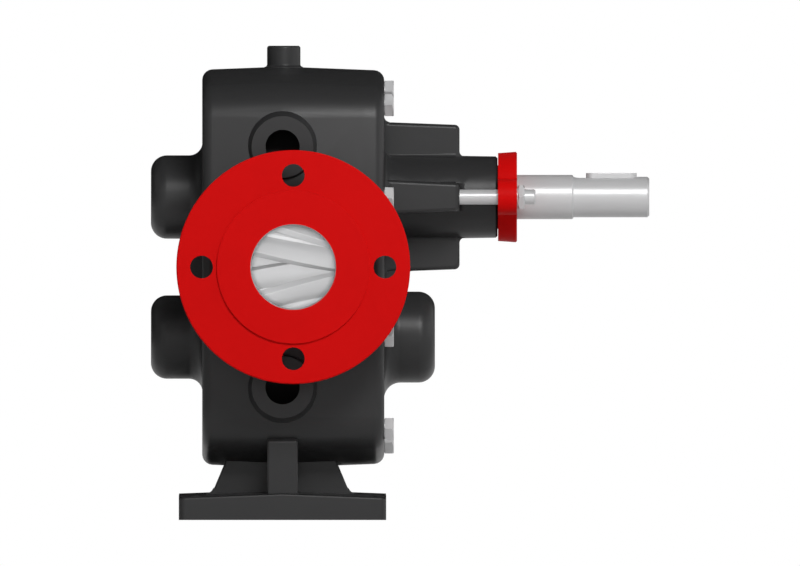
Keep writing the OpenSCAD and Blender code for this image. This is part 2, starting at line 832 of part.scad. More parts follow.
module packing_rings() {
    color(graphite) for (i = [0 : packing_count - 1]) {
        tube(box_r - 0.05, shaft_d / 2 + 0.1, box_x + i * packing_len + 0.1, box_x + (i + 1) * packing_len, drive_z);
    }
}

// Gland follower: a round flange with two ears and a nose that presses on the packing.
module packing_gland() {
    color(red) difference() {
        union() {
            turned(gland_x, drive_z) polygon([
                [0, -gland_nose], [box_r - 0.3, -gland_nose], [box_r - 0.3, eps], [0, eps],
            ]);
            turned(gland_x, drive_z) polygon([
                [0, 0], [gland_r - 0.4, 0], [gland_r + 0.6, gland_t - 1], [gland_r - 0.4, gland_t], [0, gland_t],
            ]);
            along_x(gland_x) linear_extrude(gland_t) translate([0, drive_z]) {
                square([2 * stud_offset, 2 * ear_r], center = true);
                for (side = [-1, 1]) translate([side * stud_offset, 0]) circle(ear_r);
                bar_fillets(gland_r - 0.4, ear_r, 6);
            }
        }
        rod(shaft_d / 2 + 0.5, gland_x - gland_nose - 1, gland_face + 1, z = drive_z);
        for (side = [-1, 1]) {
            rod(stud_d / 2 + 0.5, gland_x - 1, gland_face + 1, y = side * stud_offset, z = drive_z);
        }
    }
}

module gland_studs() {
    color(steel) for (side = [-1, 1]) {
        turned_stud(side * stud_offset);
    }
}

module turned_stud(y) {
    r = stud_d / 2;
    translate([0, y, 0]) turned(0, drive_z) polygon([
        [0, fin_end - 20], [r, fin_end - 20], [r, stud_end - 1], [r - 1, stud_end], [0, stud_end],
    ]);
}

module gland_nuts() {
    color(steel) for (side = [-1, 1]) translate([0, side * stud_offset, drive_z]) difference() {
        hexagon(gland_face, nut_t);
        rod(stud_d / 2 + fit, gland_face - 1, gland_face + nut_t + 1);
    }
}

// Port flange with a raised face, four bolt holes and a socket that screws on the casing's spigot.
module port_flange() {
    face_r = raised_face_d / 2;
    rim = flange_d / 2;
    bore_r = port_bore_d / 2;
    step = flange_t - raised_face_h;
    color(red) translate([port_x, 0, port_h]) rotate([90, 0, 0]) difference() {
        translate([0, 0, flange_back]) rotate_extrude() polygon([
            [bore_r, 0], [rim - 1, 0], [rim, 1], [rim, step - 1], [rim - 1, step],
            [face_r, step], [face_r, flange_t], [bore_r + 1, flange_t], [bore_r, flange_t - 1],
        ]);
        translate([0, 0, flange_back - 1]) cylinder(r = spigot_r + fit, h = socket_depth + 1);
        for (i = [0 : flange_holes - 1]) rotate(i * 360 / flange_holes)
            translate([flange_pcd / 2, 0, 0]) cylinder(d = flange_hole_d, h = 2 * port_face);
    }
}

module port_seals() {
    color(rubber) both_sides_at_ports() rotate([90, 0, 0]) difference() {
        translate([0, 0, spigot_end]) cylinder(r = spigot_r, h = seal_t);
        translate([0, 0, spigot_end - 1]) cylinder(r = port_bore_d / 2 + 1, h = seal_t + 2);
    }
}

module both_sides_at_ports() {
    translate([port_x, 0, port_h]) both_sides() children();
}

module vent_plug() {
    color(steel) difference() {
        translate([vent_x, 0, vent_plug_z]) cylinder(d = vent_plug_d, h = vent_plug_len);
        translate([vent_x, 0, vent_plug_z + vent_plug_len / 2])
            cylinder(d = vent_socket / cos(30), h = vent_plug_len, $fn = 6);
    }
}

casing();
front_cover();
cover_seal();
cover_bolts();
dowel_pins();
bush(rear_bush_x, drive_z);  // rear_drive_bush
bush(front_bush_x, drive_z);  // front_drive_bush
bush(rear_bush_x, driven_z);  // rear_driven_bush
bush(front_bush_x, driven_z);  // front_driven_bush
throat_bush();
drive_shaft();
drive_gear();
gear_key(drive_z);  // drive_gear_key
gear_clips(drive_z);  // drive_gear_clips
coupling_key();
driven_shaft();
driven_gear();
gear_key(driven_z);  // driven_gear_key
gear_clips(driven_z);  // driven_gear_clips
packing_rings();
packing_gland();
gland_studs();
gland_nuts();
port_flange();  // inlet_flange
translate([2 * port_x, 0, 0]) rotate([0, 0, 180]) port_flange();  // outlet_flange
port_seals();
vent_plug();
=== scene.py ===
"""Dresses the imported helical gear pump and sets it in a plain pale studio.

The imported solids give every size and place. Each class below stands for one sub-assembly of the
pump: it copies or models that sub-assembly's pieces, finishes their edges and paints them.
"""

from __future__ import annotations

import logging
import math
from abc import ABC, abstractmethod
from collections.abc import Callable
from dataclasses import dataclass, field
from enum import Enum

import bmesh
import bpy
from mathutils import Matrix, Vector

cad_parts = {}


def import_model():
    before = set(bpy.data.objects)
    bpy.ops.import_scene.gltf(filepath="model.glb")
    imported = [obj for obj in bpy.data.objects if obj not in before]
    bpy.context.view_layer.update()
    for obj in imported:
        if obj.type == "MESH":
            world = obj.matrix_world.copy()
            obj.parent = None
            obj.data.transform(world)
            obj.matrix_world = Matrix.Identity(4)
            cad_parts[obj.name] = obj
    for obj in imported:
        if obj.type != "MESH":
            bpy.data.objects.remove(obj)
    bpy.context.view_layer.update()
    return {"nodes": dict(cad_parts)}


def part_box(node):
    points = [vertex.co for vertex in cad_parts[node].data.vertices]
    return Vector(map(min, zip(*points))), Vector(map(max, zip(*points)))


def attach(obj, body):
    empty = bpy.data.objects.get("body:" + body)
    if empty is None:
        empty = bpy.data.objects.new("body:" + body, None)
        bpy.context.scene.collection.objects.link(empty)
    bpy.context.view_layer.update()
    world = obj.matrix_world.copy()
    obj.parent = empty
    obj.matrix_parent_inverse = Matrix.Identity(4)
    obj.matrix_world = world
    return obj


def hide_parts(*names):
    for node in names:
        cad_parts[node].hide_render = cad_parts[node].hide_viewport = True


LOG = logging.getLogger("pump")
Triple = tuple[float, float, float]
Colour = Triple
# Length along the axis and radius at each step of a turned piece, in metres
Profile = list[tuple[float, float]]
MM = 0.001
# How far a cutting tool runs past the piece that it cuts
CLEAR = 1.0 * MM
# Chamfer at the plain ends of shafts, studs and plugs
END_CHAMFER = 1.0 * MM


class Body(Enum):
    """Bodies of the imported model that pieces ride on."""

    STATOR = "stator"
    DRIVE_ROTOR = "drive_rotor"
    DRIVEN_ROTOR = "driven_rotor"
    GLAND = "gland"


class Side(Enum):
    """Both shafts, by the word that their nodes' names start with."""

    DRIVE = "drive"
    DRIVEN = "driven"

    @property
    def body(self) -> Body:
        """Body that the shaft and all that sits on it ride on."""
        return Body(f"{self.value}_rotor")


class Port(Enum):
    """Both ports, by the way along Y that each one faces."""

    INLET = -1.0
    OUTLET = 1.0


class Cut(Enum):
    """What a tool does to the piece that it meets."""

    TAKE_OUT = "DIFFERENCE"
    ADD_TO = "UNION"
    KEEP_COMMON = "INTERSECT"


class Axis(Enum):
    """Row axes, as the number of the coordinate that runs along them."""

    X = 0
    Y = 1
    Z = 2

    @property
    def vector(self) -> Vector:
        """Unit vector along this axis."""
        return Vector([1.0 if i == self.value else 0.0 for i in range(3)])

    @property
    def turn(self) -> Triple:
        """Euler angles that lay an object's own Z along this axis."""
        angles = ((0.0, math.pi / 2, 0.0), (math.pi / 2, 0.0, 0.0), (0.0, 0.0, 0.0))
        return angles[self.value]


class Signal:
    """A shader output that takes part in Python arithmetic by adding Math nodes."""

    def __init__(self, bench: ShaderBench, socket: bpy.types.NodeSocket) -> None:
        """Keeps the socket and the bench that new nodes go on."""
        self.bench = bench
        self.socket = socket

    def _math(self, operation: str, first: Signal | float, second: Signal | float) -> Signal:
        """Adds one Math node.

        Args:
            operation: The Math node's operation.
            first: Its first input.
            second: Its second input.

        Returns:
            The node's result.
        """
        node = self.bench.node("ShaderNodeMath", {"operation": operation}, {0: first, 1: second})
        return Signal(self.bench, node.outputs[0])

    def __add__(self, other: Signal | float) -> Signal:
        """Sum of both."""
        return self._math("ADD", self, other)

    __radd__ = __add__

    def __sub__(self, other: Signal | float) -> Signal:
        """This less the other."""
        return self._math("SUBTRACT", self, other)

    def __rsub__(self, other: Signal | float) -> Signal:
        """The other less this."""
        return self._math("SUBTRACT", other, self)

    def __mul__(self, other: Signal | float) -> Signal:
        """Product of both."""
        return self._math("MULTIPLY", self, other)

    __rmul__ = __mul__

    def most(self, other: Signal | float) -> Signal:
        """The greater of both."""
        return self._math("MAXIMUM", self, other)


class ShaderBench:
    """One node tree, of a material or of the world, that is laid out by code."""

    def __init__(self, owner: bpy.types.Material | bpy.types.World) -> None:
        """Empties the tree of a new material or world.

        Args:
            owner: What the nodes belong to.
        """
        owner.use_nodes = True
        self.owner = owner
        self.tree = owner.node_tree
        self.tree.nodes.clear()

    def node(
        self, kind: str, settings: dict | None = None, inputs: dict | None = None
    ) -> bpy.types.Node:
        """Adds one node.

        Args:
            kind: The node's type, such as ShaderNodeTexNoise.
            settings: Attributes that are set first.
            inputs: Values, signals or sockets for its inputs, by name or number.

        Returns:
            The new node.
        """
        node = self.tree.nodes.new(kind)
        for key, value in (settings or {}).items():
            setattr(node, key, value)
        for key, value in (inputs or {}).items():
            if isinstance(value, Signal):
                value = value.socket
            if isinstance(value, bpy.types.NodeSocket):
                self.tree.links.new(value, node.inputs[key])
            else:
                node.inputs[key].default_value = value
        return node

    def noise(self, patches: float | Triple, detail: float = 3.0) -> Signal:
        """Noise between 0 and 1 on Object coordinates.

        Args:
            patches: Patches per metre, the same all round or along X, Y and Z.
            detail: Number of finer layers.

        Returns:
            The noise.
        """
        scale = (patches,) * 3 if isinstance(patches, float) else patches
        where = self.node("ShaderNodeTexCoord").outputs["Object"]
        place = self.node("ShaderNodeMapping", None, {"Vector": where, "Scale": scale}).outputs[0]
        inputs = {"Vector": place, "Scale": 1.0, "Detail": detail}
        return Signal(self, self.node("ShaderNodeTexNoise", None, inputs).outputs["Fac"])

    def blend(self, mask: Signal, low: Colour, high: Colour) -> bpy.types.NodeSocket:
        """Colour that goes from low to high with the mask.

        Args:
            mask: 0 gives low and 1 gives high.
            low: Colour at 0.
            high: Colour at 1.

        Returns:
            The mixed colour.
        """
        inputs = {0: mask, 6: (*low, 1.0), 7: (*high, 1.0)}
        return self.node("ShaderNodeMix", {"data_type": "RGBA"}, inputs).outputs[2]

    def relief(self, height: Signal, depth: float) -> bpy.types.NodeSocket:
        """Bumped normal, from a height between 0 and 1 and its depth in metres."""
        return self.node("ShaderNodeBump", None, {"Height": height, "Distance": depth}).outputs[0]

    def seen(self) -> Signal:
        """1 for rays from the camera, and for those that metal or glass sends on, else 0."""
        path = self.node("ShaderNodeLightPath")
        camera, glossy, through = (
            Signal(self, path.outputs[f"Is {ray} Ray"])
            for ray in ("Camera", "Glossy", "Transmission")
        )
        return camera.most(glossy).most(through)

    def surface(self, inputs: dict) -> bpy.types.Material:
        """Closes the material with one Principled shader.

        Args:
            inputs: Values or links of the shader's inputs.

        Returns:
            The finished material.
        """
        shader = self.node("ShaderNodeBsdfPrincipled", None, inputs)
        self.node("ShaderNodeOutputMaterial", None, {"Surface": shader.outputs[0]})
        return self.owner


def shade(colour: Colour, factor: float) -> Colour:
    """Colour made lighter or darker by a factor."""
    return tuple(min(1.0, c * factor) for c in colour)


def grey(level: float) -> tuple[float, float, float, float]:
    """Opaque grey of one level."""
    return (level, level, level, 1.0)


@dataclass(frozen=True)
class CastPaint:
    """Satin enamel over a sand casting, with the casting's soft grain under it."""

    name: str
    slot: str
    colour: Colour
    roughness: float = 0.42
    grain: float = 0.06 * MM
    gloss: float = 0.5
    # Patches per metre of the tone, the sand's grit and the skin's soft waves
    tone_patches: float = 22.0
    grit_patches: float = 420.0
    skin_patches: float = 90.0
    # Share of the grit in the relief, and how far the roughness and the colour vary
    grit_share: float = 0.35
    roughness_range: float = 0.1
    fade: float = 0.06

    def material(self) -> bpy.types.Material:
        """Mixes the paint.

        Returns:
            The finished material.
        """
        bench = ShaderBench(bpy.data.materials.new(self.name))
        tone = bench.noise(self.tone_patches, 4.0)
        grit = bench.noise(self.grit_patches, 2.0)
        skin = bench.noise(self.skin_patches)
        relief = grit * self.grit_share + skin * (1 - self.grit_share)
        dull, light = shade(self.colour, 1 - self.fade), shade(self.colour, 1 + self.fade)
        return bench.surface({
            "Base Color": bench.blend(tone, dull, light),
            "Roughness": self.roughness + (skin - 0.5) * self.roughness_range,
            "Specular IOR Level": self.gloss,
            "Normal": bench.relief(relief, self.grain),
        })


@dataclass(frozen=True)
class TurnedMetal:
    """Machined metal with fine tool marks across one axis."""

    name: str
    slot: str
    colour: Colour
    along: Axis = Axis.X
    metallic: float = 0.75
    roughness: float = 0.36
    marks: float = 0.006 * MM
    # Tool marks and streaks per metre, and patches per metre of the tone
    mark_rings: float = 2600.0
    streaks: float = 12.0
    cloud_patches: float = 35.0
    # How far the roughness varies, and the factors of the darkest and lightest tone
    roughness_range: float = 0.12
    tones: tuple[float, float] = (0.96, 1.03)

    def material(self) -> bpy.types.Material:
        """Makes the metal.

        Returns:
            The finished material.
        """
        bench = ShaderBench(bpy.data.materials.new(self.name))
        across = [self.streaks] * 3
        across[self.along.value] = self.mark_rings
        rings = bench.noise(tuple(across), 2.0)
        cloud = bench.noise(self.cloud_patches)
        dark, light = (shade(self.colour, factor) for factor in self.tones)
        return bench.surface({
            "Base Color": bench.blend(cloud, dark, light),
            "Metallic": self.metallic,
            "Roughness": self.roughness + (rings - 0.5) * self.roughness_range,
            "Normal": bench.relief(rings, self.marks),
        })


@dataclass(frozen=True)
class SoftFill:
    """Dull sealing material: moulded rubber or braided graphite packing."""

    name: str
    slot: str
    colour: Colour
    weave: float = 500.0
    depth: float = 0.05 * MM
    roughness: float = 0.75
    fade: float = 0.2

    def material(self) -> bpy.types.Material:
        """Makes the seal material.

        Returns:
            The finished material.
        """
        bench = ShaderBench(bpy.data.materials.new(self.name))
        fibre = bench.noise(self.weave)
        dark, light = shade(self.colour, 1 - self.fade), shade(self.colour, 1 + self.fade)
        return bench.surface({
            "Base Color": bench.blend(fibre, dark, light),
            "Roughness": self.roughness,
            "Normal": bench.relief(fibre, self.depth),
        })


Finish = CastPaint | TurnedMetal | SoftFill
BLACK = CastPaint(
    "black_enamel", "black_paint", (0.026, 0.026, 0.0265), roughness=0.38, gloss=0.2
)
RED = CastPaint(
    "red_enamel", "red_paint", (0.55, 0.0025, 0.0025),
    roughness=0.5, grain=0.015 * MM, gloss=0.04,
)
STEEL = TurnedMetal(
    "turned_steel", "machined_steel", (0.5, 0.5, 0.505), metallic=0.12, roughness=0.34
)
BRIGHT = TurnedMetal(
    "bright_fasteners", "machined_steel", (0.5, 0.5, 0.505), metallic=0.15, roughness=0.34
)
BARE = TurnedMetal(
    "bored_iron", "machined_steel", (0.3, 0.3, 0.305), Axis.Y, metallic=0.3, roughness=0.42
)
SPRING = TurnedMetal("spring_steel", "spring_steel", (0.1, 0.1, 0.105), roughness=0.4)
BRONZE = TurnedMetal("bearing_bronze", "bronze", (0.55, 0.33, 0.12), metallic=0.9)
RUBBER = SoftFill("seal_rubber", "seal_rubber", (0.02, 0.02, 0.02))
PACKING = SoftFill("graphite_packing", "graphite_packing", (0.05, 0.05, 0.052), weave=900.0)


@dataclass
class Workshop:
    """Modelling steps that every sub-assembly uses."""

    # Corners nearer than this are one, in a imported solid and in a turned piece
    packed_merge: float = 0.002 * MM
    turned_merge: float = 0.005 * MM
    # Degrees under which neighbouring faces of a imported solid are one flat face
    flat_angle: float = 0.5
    # Faces across a rounded sharp edge, across a large rounding and at a key's round end
    edge_steps: int = 2
    round_steps: int = 4
    key_steps: int = 12
    # Degrees from which an outer edge is one that a large rounding takes
    round_from: float = 50.0
    # Share of face area in the shading of rounded pieces, out of 100
    normal_weight: int = 60
    # Bolt heads and nuts: height of the washer face, its radius as a share of the width across
    # flats, how steep the corners' chamfer is, and how far the washer face runs into the head
    washer: float = 0.5 * MM
    washer_share: float = 0.47
    chamfer_slope: float = 0.75
    washer_lap: float = 0.02 * MM
    # Flat that is left at a key's end, and rise from which its edge counts as upright
    key_flat: float = 0.01 * MM
    upright: float = 0.1 * MM
    made: dict[str, bpy.types.Material] = field(default_factory=dict)

    def finish(self, kind: Finish) -> bpy.types.Material:
        """Makes each finish once.

        Args:
            kind: The finish.

        Returns:
            Its material.
        """
        if kind.name not in self.made:
            self.made[kind.name] = kind.material()
        return self.made[kind.name]

    def alone(self, obj: bpy.types.Object) -> None:
        """Makes one object the only selected and active one.

        Args:
            obj: That object.
        """
        bpy.ops.object.select_all(action="DESELECT")
        obj.select_set(True)
        bpy.context.view_layer.objects.active = obj

    def paint(self, obj: bpy.types.Object, kind: Finish) -> None:
        """Gives an object one finish all over."""
        obj.data.materials.clear()
        obj.data.materials.append(self.finish(kind))

    def apply(self, obj: bpy.types.Object, kind: str, **settings: object) -> None:
        """Adds one modifier with its settings and applies it.

        Args:
            obj: The object to change.
            kind: The modifier's type.
            settings: Attributes of the modifier.
        """
        self.alone(obj)
        modifier = obj.modifiers.new(kind.lower(), kind)
        for key, value in settings.items():
            setattr(modifier, key, value)
        bpy.ops.object.modifier_apply(modifier=modifier.name)

    def settle(self, obj: bpy.types.Object, name: str) -> bpy.types.Object:
        """Names an object and moves its place into its mesh.

        Args:
            obj: The object.
            name: Its new name.

        Returns:
            The same object.
        """
        self.alone(obj)
        bpy.ops.object.transform_apply(location=True, rotation=True, scale=True)
        obj.name = name
        obj.data.name = name
        return obj

    def duplicate(self, model: bpy.types.Object, name: str) -> bpy.types.Object:
        """Copies an object with a mesh of its own.

        Args:
            model: The object to copy.
            name: Name of the copy.

        Returns:
            The copy.
        """
        copy = bpy.data.objects.new(name, model.data.copy())
        bpy.context.scene.collection.objects.link(copy)
        return copy

    def merged_copy(self, node: bpy.types.Object, name: str) -> bpy.types.Object:
        """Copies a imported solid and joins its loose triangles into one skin.

        Args:
            node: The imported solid.
            name: Name of the copy.

        Returns:
            The copy, with flat areas dissolved to single faces.
        """
        copy = self.duplicate(node, name)
        self.alone(copy)
        bpy.ops.object.mode_set(mode="EDIT")
        bpy.ops.mesh.select_all(action="SELECT")
        bpy.ops.mesh.remove_doubles(threshold=self.packed_merge)
        bpy.ops.mesh.dissolve_limited(angle_limit=math.radians(self.flat_angle))
        bpy.ops.object.mode_set(mode="OBJECT")
        return copy

    def soften(self, obj: bpy.types.Object, width: float, corner: float = 40.0) -> None:
        """Rounds sharp edges and shades the rest smooth.

        Args:
            obj: The object to finish.
            width: Width of the rounding in metres.
            corner: Angle, in degrees, from which an edge counts as sharp.
        """
        self.apply(
            obj, "BEVEL", width=width, segments=self.edge_steps, limit_method="ANGLE",
            angle_limit=math.radians(corner), use_clamp_overlap=True,
        )
        self.alone(obj)
        bpy.ops.object.shade_smooth_by_angle(angle=math.radians(corner))
        self.apply(obj, "WEIGHTED_NORMAL", keep_sharp=True, weight=self.normal_weight)

    def pick_edges(
        self, obj: bpy.types.Object, wanted: Callable[[bmesh.types.BMEdge], bool]
    ) -> int:
        """Goes into edit mode with only the wanted edges selected.

        Args:
            obj: The piece to edit.
            wanted: Test for one edge.

        Returns:
            The number of edges that are selected.
        """
        self.alone(obj)
        bpy.ops.object.mode_set(mode="EDIT")
        bpy.ops.mesh.select_mode(type="EDGE")
        bpy.ops.mesh.select_all(action="DESELECT")
        mesh = bmesh.from_edit_mesh(obj.data)
        picked = [edge for edge in mesh.edges if wanted(edge)]
        for edge in picked:
            edge.select_set(True)
        bmesh.update_edit_mesh(obj.data)
        return len(picked)

    def round_off(
        self, obj: bpy.types.Object, radius: float, wanted: Callable[[Vector], bool]
    ) -> None:
        """Rounds the outer edges whose two ends both lie at wanted places.

        Args:
            obj: The piece to edit.
            radius: Radius of the rounding in metres.
            wanted: Test for one end of an edge.
        """
        sharp = math.radians(self.round_from)

        def outer(edge: bmesh.types.BMEdge) -> bool:
            """Whether an edge stands out sharply at a wanted place."""
            stands_out = edge.is_manifold and edge.calc_face_angle_signed() > sharp
            return stands_out and all(wanted(end.co) for end in edge.verts)

        count = self.pick_edges(obj, outer)
        if count:
            bpy.ops.mesh.bevel(offset=radius, segments=self.round_steps, clamp_overlap=False)
        bpy.ops.object.mode_set(mode="OBJECT")
        LOG.info("%s: %d edges rounded", obj.name, count)

    def turned(
        self, name: str, foot: Vector, axis: Axis, profile: Profile, sides: int = 96
    ) -> bpy.types.Object:
        """Turns a piece as on a lathe: a circle that is extruded and scaled along its axis.

        Args:
            name: Name of the piece.
            foot: Point on the axis where the profile's lengths start.
            axis: The piece's axis.
            profile: Length and radius at each step. One that ends where it starts makes a ring.
            sides: Number of faces round the piece.

        Returns:
            The closed piece.
        """
        hollow = profile[0] == profile[-1]
        bpy.ops.object.select_all(action="DESELECT")
        bpy.ops.mesh.primitive_circle_add(
            vertices=sides, radius=profile[0][1], fill_type="NOTHING" if hollow else "NGON",
            location=foot + axis.vector * profile[0][0], rotation=axis.turn,
        )
        piece = self.settle(bpy.context.active_object, name)
        bpy.ops.object.mode_set(mode="EDIT")
        bpy.ops.mesh.select_mode(type="EDGE" if hollow else "FACE")
        bpy.ops.mesh.select_all(action="SELECT")
        for (start, near), (stop, far) in zip(profile, profile[1:]):
            step = {"value": tuple(axis.vector * (stop - start))}
            if hollow:
                bpy.ops.mesh.extrude_edges_move(TRANSFORM_OT_translate=step)
            else:
                bpy.ops.mesh.extrude_region_move(TRANSFORM_OT_translate=step)
            centre = tuple(foot + axis.vector * stop)
            bpy.ops.transform.resize(value=(far / near,) * 3, center_override=centre)
        bpy.ops.mesh.select_all(action="SELECT")
        bpy.ops.mesh.remove_doubles(threshold=self.turned_merge)
        bpy.ops.mesh.normals_make_consistent(inside=False)
        bpy.ops.object.mode_set(mode="OBJECT")
        return piece

    def rod(
        self, foot: Vector, axis: Axis, ends: tuple[float, float], radius: float, sides: int = 48
    ) -> bpy.types.Object:
        """Makes a plain round tool, to be cut out of a piece or joined to it.

        Args:
            foot: Point on its axis where its lengths start.
            axis: Its axis.
            ends: Length at each of its ends.
            radius: Its radius.
            sides: Number of faces round it.

        Returns:
            The tool.
        """
        return self.turned("tool", foot, axis, [(end, radius) for end in ends], sides)

    def pin(
        self, name: str, foot: Vector, axis: Axis, radius: float, length: float
    ) -> bpy.types.Object:
        """Turns a stud or plug with a chamfer at both ends.

        Args:
            name: Name of the piece.
            foot: Middle of its first end.
            axis: Its axis.
            radius: Its radius.
            length: Its length.

        Returns:
            The piece.
        """
        neck = radius - END_CHAMFER
        return self.turned(name, foot, axis, [
            (0.0, neck), (END_CHAMFER, radius), (length - END_CHAMFER, radius), (length, neck),
        ], 48)

    def hexagon(
        self, name: str, foot: Vector, across: float, height: float, both_ends: bool = False
    ) -> bpy.types.Object:
        """Makes a bolt head or nut blank along X, with a corner towards the ports.

        Args:
            name: Name of the piece.
            foot: Middle of the face that it stands on.
            across: Width across its flats.
            height: Its height.
            both_ends: Whether the corners are chamfered at the foot too.

        Returns:
            The blank, on a thin round washer face.
        """
        corner = across / 2 / math.cos(math.pi / 6)
        face = across * self.washer_share
        fall = self.chamfer_slope * (corner - face)
        bpy.ops.object.select_all(action="DESELECT")
        bpy.ops.mesh.primitive_cylinder_add(
            vertices=6, radius=corner, depth=height - self.washer, rotation=Axis.X.turn,
            location=foot + Axis.X.vector * (height + self.washer) / 2,
        )
        blank = self.settle(bpy.context.active_object, name)
        low = [(0.0, corner + CLEAR)]
        if both_ends:
            low = [(self.washer, face), (self.washer + fall, corner)]
        cone = self.turned("cone", foot, Axis.X, [*low, (height - fall, corner), (height, face)])
        self.join(blank, cone, Cut.KEEP_COMMON)
        ends = (0.0, self.washer + self.washer_lap)
        washer = self.rod(foot, Axis.X, ends, face, sides=96)
        self.join(blank, washer, Cut.ADD_TO)
        return blank

    def block(self, name: str, low: Vector, high: Vector) -> bpy.types.Object:
        """Makes a plain block between two corners, to be cut or joined.

        Args:
            name: Name of the block.
            low: Its lowest corner.
            high: Its highest corner.

        Returns:
            The block.
        """
        bpy.ops.object.select_all(action="DESELECT")
        bpy.ops.mesh.primitive_cube_add(size=1.0, location=(low + high) / 2)
        block = bpy.context.active_object
        block.scale = high - low
        return self.settle(block, name)

    def slot_block(self, name: str, low: Vector, high: Vector) -> bpy.types.Object:
        """Makes an upright block with round ends along X, as a key or its slot.

        Args:
            name: Name of the block.
            low: Its lowest corner.
            high: Its highest corner.

        Returns:
            The block.
        """

        def upright(edge: bmesh.types.BMEdge) -> bool:
            """Whether an edge runs along Z."""
            first, last = edge.verts
            return abs(first.co.z - last.co.z) > self.upright

        block = self.block(name, low, high)
        self.pick_edges(block, upright)
        radius = (high.y - low.y) / 2 - self.key_flat
        bpy.ops.mesh.bevel(offset=radius, segments=self.key_steps)
        bpy.ops.object.mode_set(mode="OBJECT")
        return block

    def islands(self, node: bpy.types.Object) -> list[tuple[Vector, Vector]]:
        """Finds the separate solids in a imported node.

        Args:
            node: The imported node.

        Returns:
            Lowest and highest corner of each solid, from low X, Y and Z on.
        """
        copy = self.merged_copy(node, "islands")
        self.alone(copy)
        bpy.ops.mesh.separate(type="LOOSE")
        found = []
        for piece in list(bpy.context.selected_objects):
            places = [vertex.co for vertex in piece.data.vertices]
            low = Vector([min(p[i] for p in places) for i in range(3)])
            high = Vector([max(p[i] for p in places) for i in range(3)])
            found.append((low, high))
            bpy.data.objects.remove(piece)
        return sorted(found, key=lambda box: tuple(round(v, 4) for v in box[0]))

    def join(self, obj: bpy.types.Object, tool: bpy.types.Object, how: Cut) -> None:
        """Cuts, joins or crosses an object with a tool, and removes the tool."""
        self.apply(obj, "BOOLEAN", operation=how.value, object=tool, solver="EXACT")
        bpy.data.objects.remove(tool)

    def bare(
        self, obj: bpy.types.Object, kind: Finish, machined: Callable[[Vector], bool]
    ) -> None:
        """Gives the faces whose corners all lie at machined places a finish of their own.

        Args:
            obj: The painted piece.
            kind: Finish of the machined faces.
            machined: Test for one corner of a face.
        """
        obj.data.materials.append(self.finish(kind))
        number = len(obj.data.materials) - 1
        places = [machined(vertex.co) for vertex in obj.data.vertices]
        for face in obj.data.polygons:
            if all(places[corner] for corner in face.vertices):
                face.material_index = number


@dataclass
class SubAssembly(ABC):
    """What every sub-assembly shares: the workshop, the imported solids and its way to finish."""

    shop: Workshop
    nodes: dict[str, bpy.types.Object]
    # Degrees from which an edge of a modelled piece counts as sharp
    modelled_corner: float = 30.0

    @abstractmethod
    def build(self) -> None:
        """Makes and paints the sub-assembly's pieces."""

    def keep(self, node: str, kind: Finish) -> None:
        """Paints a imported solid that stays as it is."""
        self.shop.paint(self.nodes[node], kind)
        LOG.info("%s: kept, in %s", node, kind.name)

    def stand_in(self, obj: bpy.types.Object, body: Body, kind: Finish, node: str) -> None:
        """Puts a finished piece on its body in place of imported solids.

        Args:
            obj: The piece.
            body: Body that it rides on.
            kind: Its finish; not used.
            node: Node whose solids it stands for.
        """
        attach(obj, body.value)
        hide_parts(node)
        LOG.info("%s: %d faces for %s", obj.name, len(obj.data.polygons), node)

    def dress(
        self, obj: bpy.types.Object, body: Body, kind: Finish, edge: float, node: str
    ) -> None:
        """Rounds a modelled piece's edges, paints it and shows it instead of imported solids.

        Args:
            obj: The piece.
            body: Body that it rides on.
            kind: Its finish.
            edge: Width of the rounded edges in metres.
            node: Node whose solids it stands for.
        """
        self.shop.soften(obj, edge, self.modelled_corner)
        self.shop.paint(obj, kind)
        self.stand_in(obj, body, kind, node)

    def refine(
        self, node: str, body: Body, kind: Finish, width: float,
        shape: Callable[[bpy.types.Object], None] | None = None,
    ) -> bpy.types.Object:
        """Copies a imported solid, rounds its edges, paints it and shows it instead.

        Args:
            node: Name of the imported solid.
            body: Body that it rides on.
            kind: Its finish.
            width: Width of the rounded edges in metres.
            shape: What is done to the copy before its edges are rounded.

        Returns:
            The finished copy.
        """
        copy = self.shop.merged_copy(self.nodes[node], f"{node}_skin")
        if shape:
            shape(copy)
        self.shop.soften(copy, width)
        self.shop.paint(copy, kind)
        self.stand_in(copy, body, kind, node)
        return copy


